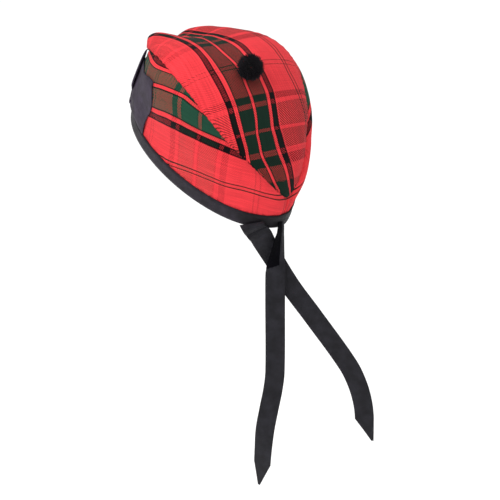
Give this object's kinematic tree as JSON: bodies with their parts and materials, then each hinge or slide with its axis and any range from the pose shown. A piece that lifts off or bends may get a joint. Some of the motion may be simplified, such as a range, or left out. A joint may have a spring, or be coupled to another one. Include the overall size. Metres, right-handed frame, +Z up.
{
  "type": "glengarry cap",
  "caption": "Red tartan glengarry: a boat-shaped cap with a creased crown, ribbon binding, pompom, side cockade and ribbon ties hanging at the back.",
  "frame": {"origin": "middle of the rim's opening, where the cap sits on the head", "axes": "+X to the wearer's left, -Y to the cap's front, +Z up; the rim's plane rises 26.5 degrees towards the front, and the ties hang down -Z behind"},
  "size_m": [0.1996, 0.299, 0.5324],
  "materials": {
    "tartan_cloth": "woven wool twill, red tartan with green and black",
    "binding_ribbon": "black ribbed ribbon",
    "cockade_ribbon": "black ribbed ribbon, slightly faded",
    "tie_ribbon": "black satin-faced ribbon",
    "toorie_wool": "cut wool pile, black"
  },
  "bodies": {
    "root": {"crown": "tartan_cloth", "side_left": "tartan_cloth", "side_right": "tartan_cloth", "rim_binding": "binding_ribbon", "toorie": "toorie_wool", "cockade_ribbon": "cockade_ribbon", "cockade_loop": "cockade_ribbon", "cockade_knot": "cockade_ribbon", "tie_left": "tie_ribbon", "tie_right": "tie_ribbon"}
  },
  "joints": []
}
